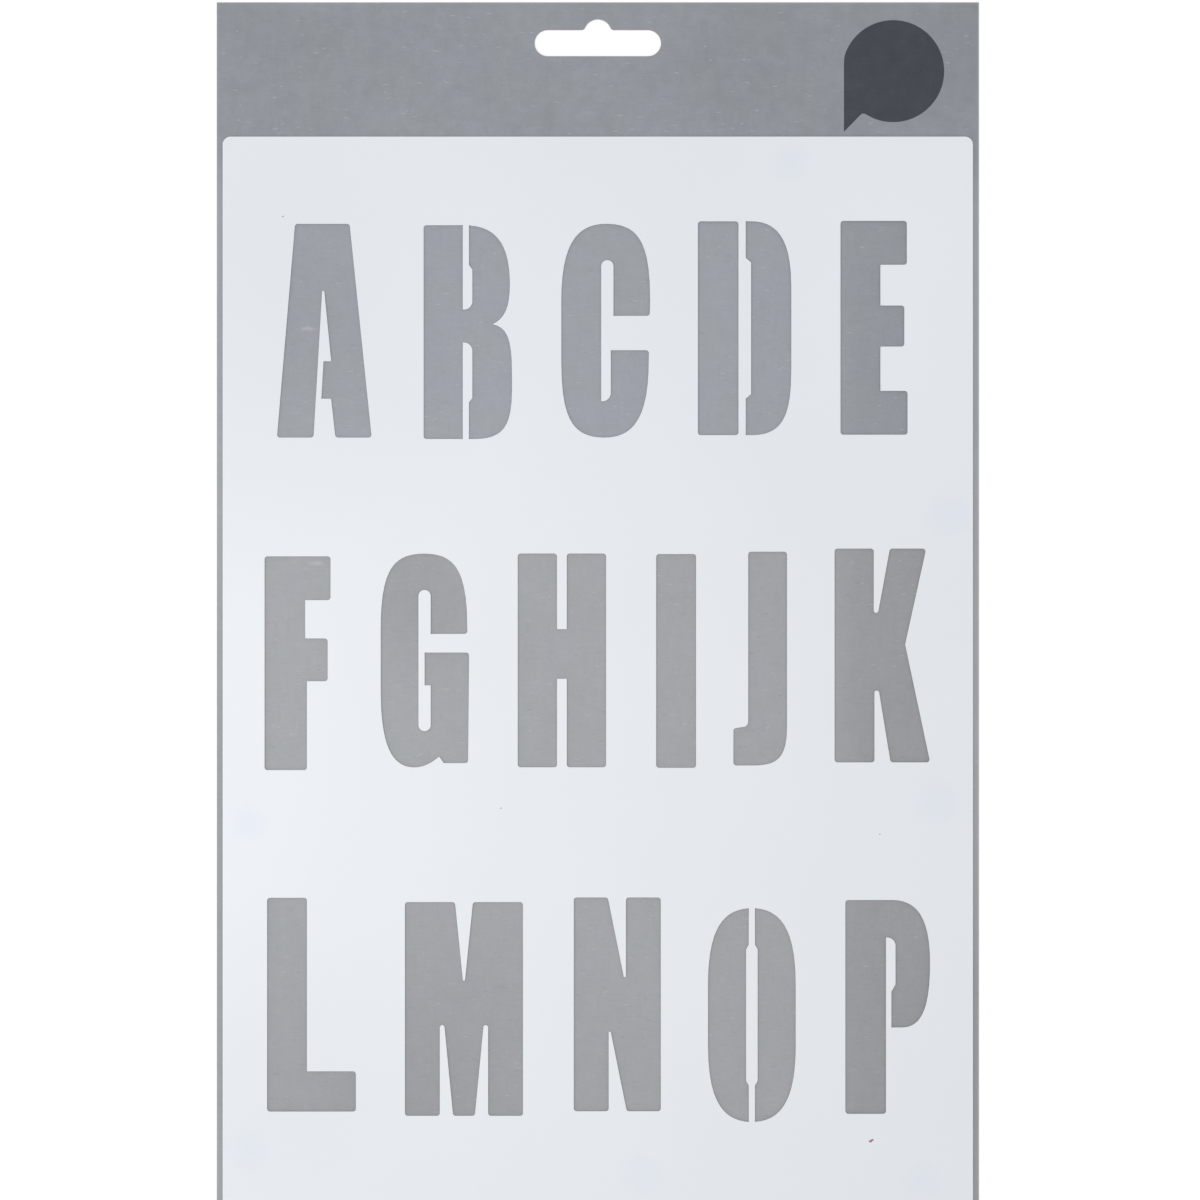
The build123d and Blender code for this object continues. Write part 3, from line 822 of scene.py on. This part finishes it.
def run_tree(
    name: str, source: bmesh.types.BMesh, tree: bpy.types.NodeTree, material: bpy.types.Material,
    **values: object,
) -> bpy.types.Object:
    """Run a geometry tree on a mesh and keep the result as a plain piece, with its faces turned outwards.

    Args:
        name: the piece's name.
        source: the mesh that the tree starts from, which is freed.
        tree: the geometry tree.
        material: the piece's material.
        values: values for the tree's other inputs, by name.

    Returns:
        The piece.
    """
    values["Material"] = material
    mesh = bpy.data.meshes.new(name + "_source")
    source.to_mesh(mesh)
    source.free()
    carrier = bpy.data.objects.new(name + "_source", mesh)
    bpy.context.scene.collection.objects.link(carrier)
    modifier = carrier.modifiers.new("tree", "NODES")
    modifier.node_group = tree
    for item in tree.interface.items_tree:
        if item.in_out == "INPUT" and item.name in values:
            modifier[item.identifier] = values[item.name]
    graph = bpy.context.evaluated_depsgraph_get()
    baked = bpy.data.meshes.new_from_object(carrier.evaluated_get(graph), depsgraph=graph)
    shape = bmesh.new()
    shape.from_mesh(baked)
    bmesh.ops.recalc_face_normals(shape, faces=shape.faces)
    bpy.data.objects.remove(carrier)
    for used in (mesh, baked):
        bpy.data.meshes.remove(used)
    return to_piece(name, shape, material)


def bead_tree() -> bpy.types.NodeTree:
    """Geometry tree that lays a fine bead just under the sharp edges whose ends are marked as upper."""
    maker = GeometryMaker("bead_along_cuts", Radius=0.06 * MM, Sides=6, LeastAngle=SHARP_ANGLE, Drop=0.5)
    marking = {"Name": Mark.UPPER.value}
    mark = maker.add("GeometryNodeInputNamedAttribute", marking, data_type="FLOAT").outputs[0]
    chosen = maker.both(maker.sharp(), maker.more_than(mark, WHOLE))
    cuts = {"Mesh": maker.given["Geometry"], "Selection": chosen}
    line = maker.add("GeometryNodeMeshToCurve", cuts).outputs[0]
    section = {"Resolution": maker.given["Sides"], "Radius": maker.given["Radius"]}
    profile = maker.add("GeometryNodeCurvePrimitiveCircle", section).outputs[0]
    drop = maker.math("MULTIPLY", maker.given["Radius"], maker.given["Drop"])
    under = maker.join(z=maker.math("MULTIPLY", drop, -1.0))
    line = maker.add("GeometryNodeSetPosition", {"Geometry": line, "Offset": under}).outputs[0]
    return maker.end(maker.add("GeometryNodeCurveToMesh", {0: line, 1: profile}).outputs[0])


def fibre_tree() -> bpy.types.NodeTree:
    """Geometry tree that strews bent, tapered fibres over the upper face of a board, clear of its edges."""
    taper_start, taper_span = 0.08 * math.pi, 0.84 * math.pi
    maker = GeometryMaker(
        "fibres_on_board", PerSquareMetre=42000.0, Length=1.6 * MM, Radius=0.055 * MM, Bow=0.12,
        Flatness=0.35, LeastAngle=SHARP_ANGLE, Steps=4, Seed=7,
    )
    board = maker.given["Geometry"]
    upright = maker.axes(maker.add("GeometryNodeInputNormal").outputs[0])[2]
    strewing = {
        "Mesh": board, "Selection": maker.more_than(upright, WHOLE),
        "Density": maker.given["PerSquareMetre"], "Seed": maker.given["Seed"],
    }
    points = maker.add("GeometryNodeDistributePointsOnFaces", strewing).outputs["Points"]
    edges = maker.add("GeometryNodeSeparateGeometry", {0: board, 1: maker.sharp()}, domain="EDGE").outputs[0]
    clear = maker.add("GeometryNodeProximity", {0: edges}, target_element="EDGES").outputs["Distance"]
    near = maker.more_than(maker.given["Length"], clear)
    points = maker.add("GeometryNodeDeleteGeometry", {0: points, 1: near}, domain="POINT").outputs[0]
    half = maker.math("MULTIPLY", maker.given["Length"], 0.5)
    bow = maker.math("MULTIPLY", half, maker.given["Bow"])
    ends = {
        "Resolution": maker.given["Steps"],
        "Start": maker.join(maker.math("MULTIPLY", half, -1.0)),
        "Middle": maker.join(y=bow),
        "End": maker.join(half),
    }
    line = maker.add("GeometryNodeCurveQuadraticBezier", ends).outputs[0]
    along = maker.add("GeometryNodeSplineParameter").outputs["Factor"]
    taper = maker.math("SINE", maker.math("MULTIPLY_ADD", along, taper_span, taper_start))
    section = {"Resolution": maker.given["Steps"], "Radius": maker.given["Radius"]}
    profile = maker.add("GeometryNodeCurvePrimitiveCircle", section).outputs[0]
    body = {"Curve": line, "Profile Curve": profile, "Scale": taper, "Fill Caps": True}
    fibre = maker.add("GeometryNodeCurveToMesh", body).outputs[0]
    side = maker.math("SIGN", maker.chance(Draw.SIDE))
    width = maker.math("MULTIPLY", maker.chance(Draw.WIDTH), side)
    size = maker.join(maker.chance(Draw.LENGTH), width, maker.given["Flatness"])
    turn = maker.join(z=maker.chance(Draw.TURN))
    placing = {"Points": points, "Instance": fibre, "Rotation": turn, "Scale": size}
    strewn = maker.add("GeometryNodeInstanceOnPoints", placing).outputs[0]
    toning = {"Geometry": strewn, "Name": Mark.TONE.value, "Value": maker.chance(Draw.TONE)}
    toned = maker.add("GeometryNodeStoreNamedAttribute", toning, data_type="FLOAT", domain="INSTANCE")
    return maker.end(toned.outputs[0])


@dataclass
class SubAssembly:
    """A group of pieces that ride on one body."""

    effects: Effects

    def keep(self, piece: bpy.types.Object, body: Body, slot: Slot) -> None:
        """Fix a piece to its body and log it."""
        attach(piece, body.value)
        log.info("%s: %s, %d faces", type(self).__name__, piece.name, len(piece.data.polygons))


@dataclass
class HangCard(SubAssembly):
    """Grey board card: its edges are slightly rounded, and the punch has rolled in the rim of its slot."""

    edge_round: float = 0.06 * MM
    slot_roll: float = 0.16 * MM
    roll_steps: int = 3

    def build(self) -> None:
        """Build the card and the fibres in its face."""
        card = to_piece("card_board", self.shape(), GreyBoardFinish().build(self.effects))
        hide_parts("hang_card")
        self.keep(card, Body.CARD, Slot.GREY_BOARD)
        fibre = FibreFinish().build(self.effects)
        fibres = run_tree("board_fibres", merged_copy("hang_card"), fibre_tree(), fibre)
        self.keep(fibres, Body.CARD, Slot.GREY_BOARD)

    def shape(self) -> bmesh.types.BMesh:
        """Mesh of the card, with the rim of its slot rolled in from the front."""
        low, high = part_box("hang_card")
        shape = merged_copy("hang_card")
        rim, outline = [], []
        for edge in shape.edges:
            if edge.calc_face_angle() < SHARP_ANGLE:
                continue
            middle = (edge.verts[0].co + edge.verts[1].co) / 2
            side = min(middle.x - low.x, high.x - middle.x, middle.y - low.y, high.y - middle.y)
            if side < TOUCH:
                outline.append(edge)
            elif middle.z > high.z - TOUCH:
                rim.append(edge)
        for edges, offset in ((rim, self.slot_roll), (outline, self.edge_round)):
            bmesh.ops.bevel(
                shape, geom=edges, offset=offset, offset_type="OFFSET", segments=self.roll_steps, profile=0.5,
                affect="EDGES", clamp_overlap=True,
            )
        return shape


@dataclass
class StencilSheet(SubAssembly):
    """Frosted sheet with its letters: it sags between its glue spots, and its cuts have a melted lip."""

    glue_spots: Sequence[str] = ()
    cell: float = 4.0 * MM
    sag_depth: float = 0.12 * MM
    sag_size: float = 70.0 * MM
    sag_seed: Triple = (3.1, 7.7, 0.0)
    sag_mean: float = 0.7
    sag_swing: float = 0.5
    hold_size: float = 25.0 * MM
    bead_radius: float = 0.06 * MM

    def build(self) -> None:
        """Build the sheet and the melted lip along its cuts."""
        spots = [spot_place(name) for name in self.glue_spots]
        shape = self.shape([middle * MM for middle, _ in spots])
        melted = MeltedEdgeFinish().build(self.effects)
        lip = run_tree("melted_lip", shape.copy(), bead_tree(), melted, Radius=self.bead_radius)
        sheet = to_piece("frosted_sheet", shape, FrostedPlasticFinish().build(self.effects, spots))
        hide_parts("stencil_sheet")
        for piece in (sheet, lip):
            self.keep(piece, Body.SHEET, Slot.FROSTED_PLASTIC)

    def shape(self, held: Sequence[Vector]) -> bmesh.types.BMesh:
        """Mesh of the sheet, cut into cells so that it can sag.

        Args:
            held: the places where glue holds the sheet off the card.

        Returns:
            The sagging mesh, whose upper points are marked.
        """
        low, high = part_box("stencil_sheet")
        shape = merged_copy("stencil_sheet")
        for axis in (0, 1):
            count = int((high[axis] - low[axis]) / self.cell)
            for step in range(1, count):
                place, direction = Vector(), Vector()
                place[axis] = low[axis] + (high[axis] - low[axis]) * step / count
                direction[axis] = 1.0
                parts = [*shape.verts, *shape.edges, *shape.faces]
                bmesh.ops.bisect_plane(shape, geom=parts, dist=TOUCH / 2, plane_co=place, plane_no=direction)
        bmesh.ops.remove_doubles(shape, verts=shape.verts, dist=TOUCH)
        upper = shape.verts.layers.float.new(Mark.UPPER.value)
        middle = (low.z + high.z) / 2
        for point in shape.verts:
            point[upper] = 1.0 if point.co.z > middle else 0.0
            point.co.z -= GLUE_PRESS + self.sag(point.co, held)
        bmesh.ops.triangulate(shape, faces=shape.faces)
        return shape

    def sag(self, place: Vector, held: Sequence[Vector]) -> float:
        """Depth by which a place on the sheet hangs under its height at the places where glue holds it."""
        wave = noise.noise(Vector((place.x, place.y, 0.0)) / self.sag_size + Vector(self.sag_seed))
        free = 1.0
        for spot in held:
            near = (place.x - spot.x) ** 2 + (place.y - spot.y) ** 2
            free *= 1.0 - math.exp(-near / self.hold_size ** 2)
        return self.sag_depth * free * max(0.0, self.sag_mean + self.sag_swing * wave)


@dataclass
class GlueSpots(SubAssembly):
    """Blobs of removable glue between the card and the sheet, drawn in at the waist and ragged in outline."""

    names: Sequence[str] = ()
    turns: int = 56
    raggedness: float = 0.07
    dents_round: float = 1.7
    seed_step: float = 5.3
    smooth_angle: float = math.radians(60.0)
    ring_shares: tuple[Pair, ...] = (
        (0.5, 0.0), (0.94, 0.0), (0.985, 0.12), (0.955, 0.5), (0.985, 0.88), (0.95, 1.0), (0.8, 0.96),
        (0.55, 0.98), (0.25, 0.94),
    )

    def build(self) -> None:
        """Build a blob in the place of each disc."""
        glue = GlueFinish().build(self.effects)
        for seed, name in enumerate(self.names):
            blob = to_piece("blob_" + name, self.shape(name, seed), glue, self.smooth_angle)
            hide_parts(name)
            self.keep(blob, Body.CARD, Slot.GLUE)

    def shape(self, name: str, seed: int) -> bmesh.types.BMesh:
        """Mesh of one blob, whose rings run from its foot round its waist to the middle of its top.

        Args:
            name: the disc that it replaces.
            seed: the number that its outline is drawn from.

        Returns:
            The mesh.
        """
        low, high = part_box(name)
        middle, radius, thickness = (low + high) / 2, (high.x - low.x) / 2, high.z - low.z - GLUE_PRESS
        start = Vector((seed * self.seed_step, 0.0, 0.0))
        shape = bmesh.new()
        rings = []
        for reach_share, level_share in self.ring_shares:
            ring = []
            for turn in range(self.turns):
                angle = math.tau * turn / self.turns
                way = Vector((math.cos(angle), math.sin(angle), 0.0))
                dent = (1.0 + noise.noise(way * self.dents_round + start)) / 2
                place = middle + way * radius * reach_share * (1.0 - self.raggedness * dent)
                place.z = low.z + thickness * level_share
                ring.append(shape.verts.new(place))
            rings.append(ring)
        foot = shape.verts.new((middle.x, middle.y, rings[0][0].co.z))
        crown = shape.verts.new((middle.x, middle.y, rings[-1][0].co.z))
        for turn in range(self.turns):
            after = (turn + 1) % self.turns
            shape.faces.new((foot, rings[0][after], rings[0][turn]))
            shape.faces.new((crown, rings[-1][turn], rings[-1][after]))
            for inner, outer in zip(rings, rings[1:]):
                shape.faces.new((inner[turn], inner[after], outer[after], outer[turn]))
        bmesh.ops.recalc_face_normals(shape, faces=shape.faces)
        return shape


def spot_place(name: str) -> tuple[Vector, Vector]:
    """Middle and half size of a glue spot, in millimetres."""
    low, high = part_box(name)
    return (low + high) / 2 / MM, (high - low) / 2 / MM


@dataclass
class Studio:
    """Floor, light and camera: soft light, a little stronger from the left, seen from straight above."""

    effects: Effects
    view_middle: Pair = (0.62 * MM, 2.3 * MM)
    view_width: float = 336.05 * MM
    camera_height: float = 1.2
    sensor_width: float = 36.0
    floor_half: float = 3.0
    floor_cells: int = 8
    floor_glow: float = 0.4
    floor_shine: float = 0.1
    paper: Triple = (0.8, 0.8, 0.8)
    paper_grain: float = 0.5
    paper_tones: Pair = (0.98, 1.02)
    paper_roughness: float = 0.9
    paper_rough_swing: float = 0.05
    sky: float = 0.812
    lamp_place: Triple = (-0.2, -0.05, 0.3)
    lamp_size: float = 0.2
    lamp_power: float = 0.25

    def build(self) -> None:
        """Build the floor, the light and the camera."""
        self.floor()
        self.world()
        self.lamp()
        self.camera()

    def floor(self) -> None:
        """Pale floor that looks white to the camera and keeps the shadow."""
        maker = SurfaceMaker("floor_paper", self.effects)
        maker.shader.inputs["Specular IOR Level"].default_value = self.floor_shine
        maker.feed(maker.shader.inputs["Emission Color"], WHITE)
        glow = maker.math("MULTIPLY", maker.seen_directly(), self.floor_glow)
        maker.feed(maker.shader.inputs["Emission Strength"], glow)
        grain = maker.noise(maker.place, self.paper_grain)
        paper = maker.shade(self.paper, maker.ramp(grain, 0.0, 1.0, *self.paper_tones))
        maker.dress(paper, maker.math("MULTIPLY_ADD", grain, self.paper_rough_swing, self.paper_roughness))
        shape, cells = bmesh.new(), self.floor_cells
        bmesh.ops.create_grid(shape, x_segments=cells, y_segments=cells, size=self.floor_half)
        bmesh.ops.translate(shape, verts=shape.verts, vec=(0.0, 0.0, cad_bounds[0][2]))
        to_piece("floor", shape, maker.material)

    def world(self) -> None:
        """Even light from all round, white where the camera sees it."""
        world = bpy.data.worlds.new("studio")
        bpy.context.scene.world = world
        world.use_nodes = True
        maker = NodeMaker(world.node_tree)
        background = world.node_tree.nodes["Background"]
        maker.feed(background.inputs["Color"], WHITE)
        strength = maker.math("MULTIPLY_ADD", maker.seen_directly(), 1.0 - self.sky, self.sky)
        maker.feed(background.inputs["Strength"], strength)

    def lamp(self) -> None:
        """Soft lamp at the left."""
        light = bpy.data.lights.new("soft_lamp", "AREA")
        light.shape = "SQUARE"
        light.size = self.lamp_size
        light.energy = self.lamp_power
        lamp = bpy.data.objects.new("soft_lamp", light)
        lamp.location = self.lamp_place
        lamp.rotation_euler = (-Vector(self.lamp_place)).to_track_quat("-Z", "Y").to_euler()
        bpy.context.scene.collection.objects.link(lamp)

    def camera(self) -> None:
        """Camera straight above, with the top of the picture towards the hang slot."""
        lens = bpy.data.cameras.new("camera")
        lens.sensor_width = self.sensor_width
        lens.lens = self.sensor_width * self.camera_height / self.view_width
        camera = bpy.data.objects.new("camera", lens)
        camera.location = (*self.view_middle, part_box("stencil_sheet")[1].z + self.camera_height)
        bpy.context.scene.collection.objects.link(camera)
        bpy.context.scene.camera = camera


def main() -> None:
    """Build the scene in order."""
    logging.basicConfig(level=logging.INFO, format="%(message)s")
    bpy.context.scene.view_settings.view_transform = "Standard"
    effects = Effects.build()
    glue_spots = sorted(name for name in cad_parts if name.startswith("glue_spot"))
    HangCard(effects).build()
    StencilSheet(effects, glue_spots=glue_spots).build()
    GlueSpots(effects, names=glue_spots).build()
    Studio(effects).build()


if __name__ == "__main__":
    main()
